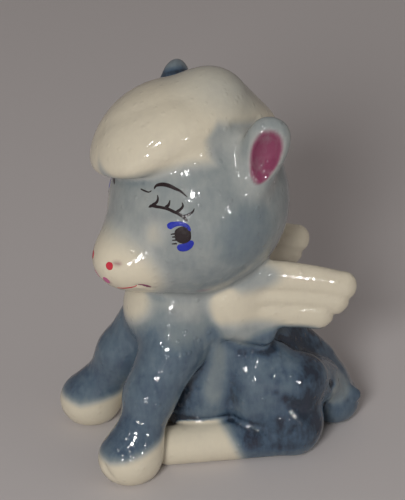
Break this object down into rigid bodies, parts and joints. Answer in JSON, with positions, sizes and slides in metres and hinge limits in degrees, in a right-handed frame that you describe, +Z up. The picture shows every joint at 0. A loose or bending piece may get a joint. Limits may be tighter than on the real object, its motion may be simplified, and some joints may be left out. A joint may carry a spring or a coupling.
{
  "type": "winged foal figurine",
  "caption": "Small glazed china figurine of a winged foal sitting up with its forelegs apart, a thick forelock over its brow.",
  "frame": {"origin": "on the table, at the middle of the figure's length and width", "axes": "+Z up; the foal's body faces -Y and its own left side is +X"},
  "size_m": [0.026, 0.0404, 0.055],
  "materials": {
    "glazed_china": "hand-painted underglaze in slate blue, pale blue-grey and cream, under a clear gloss glaze"
  },
  "bodies": {
    "root": {"winged_foal": "glazed_china"}
  },
  "joints": []
}
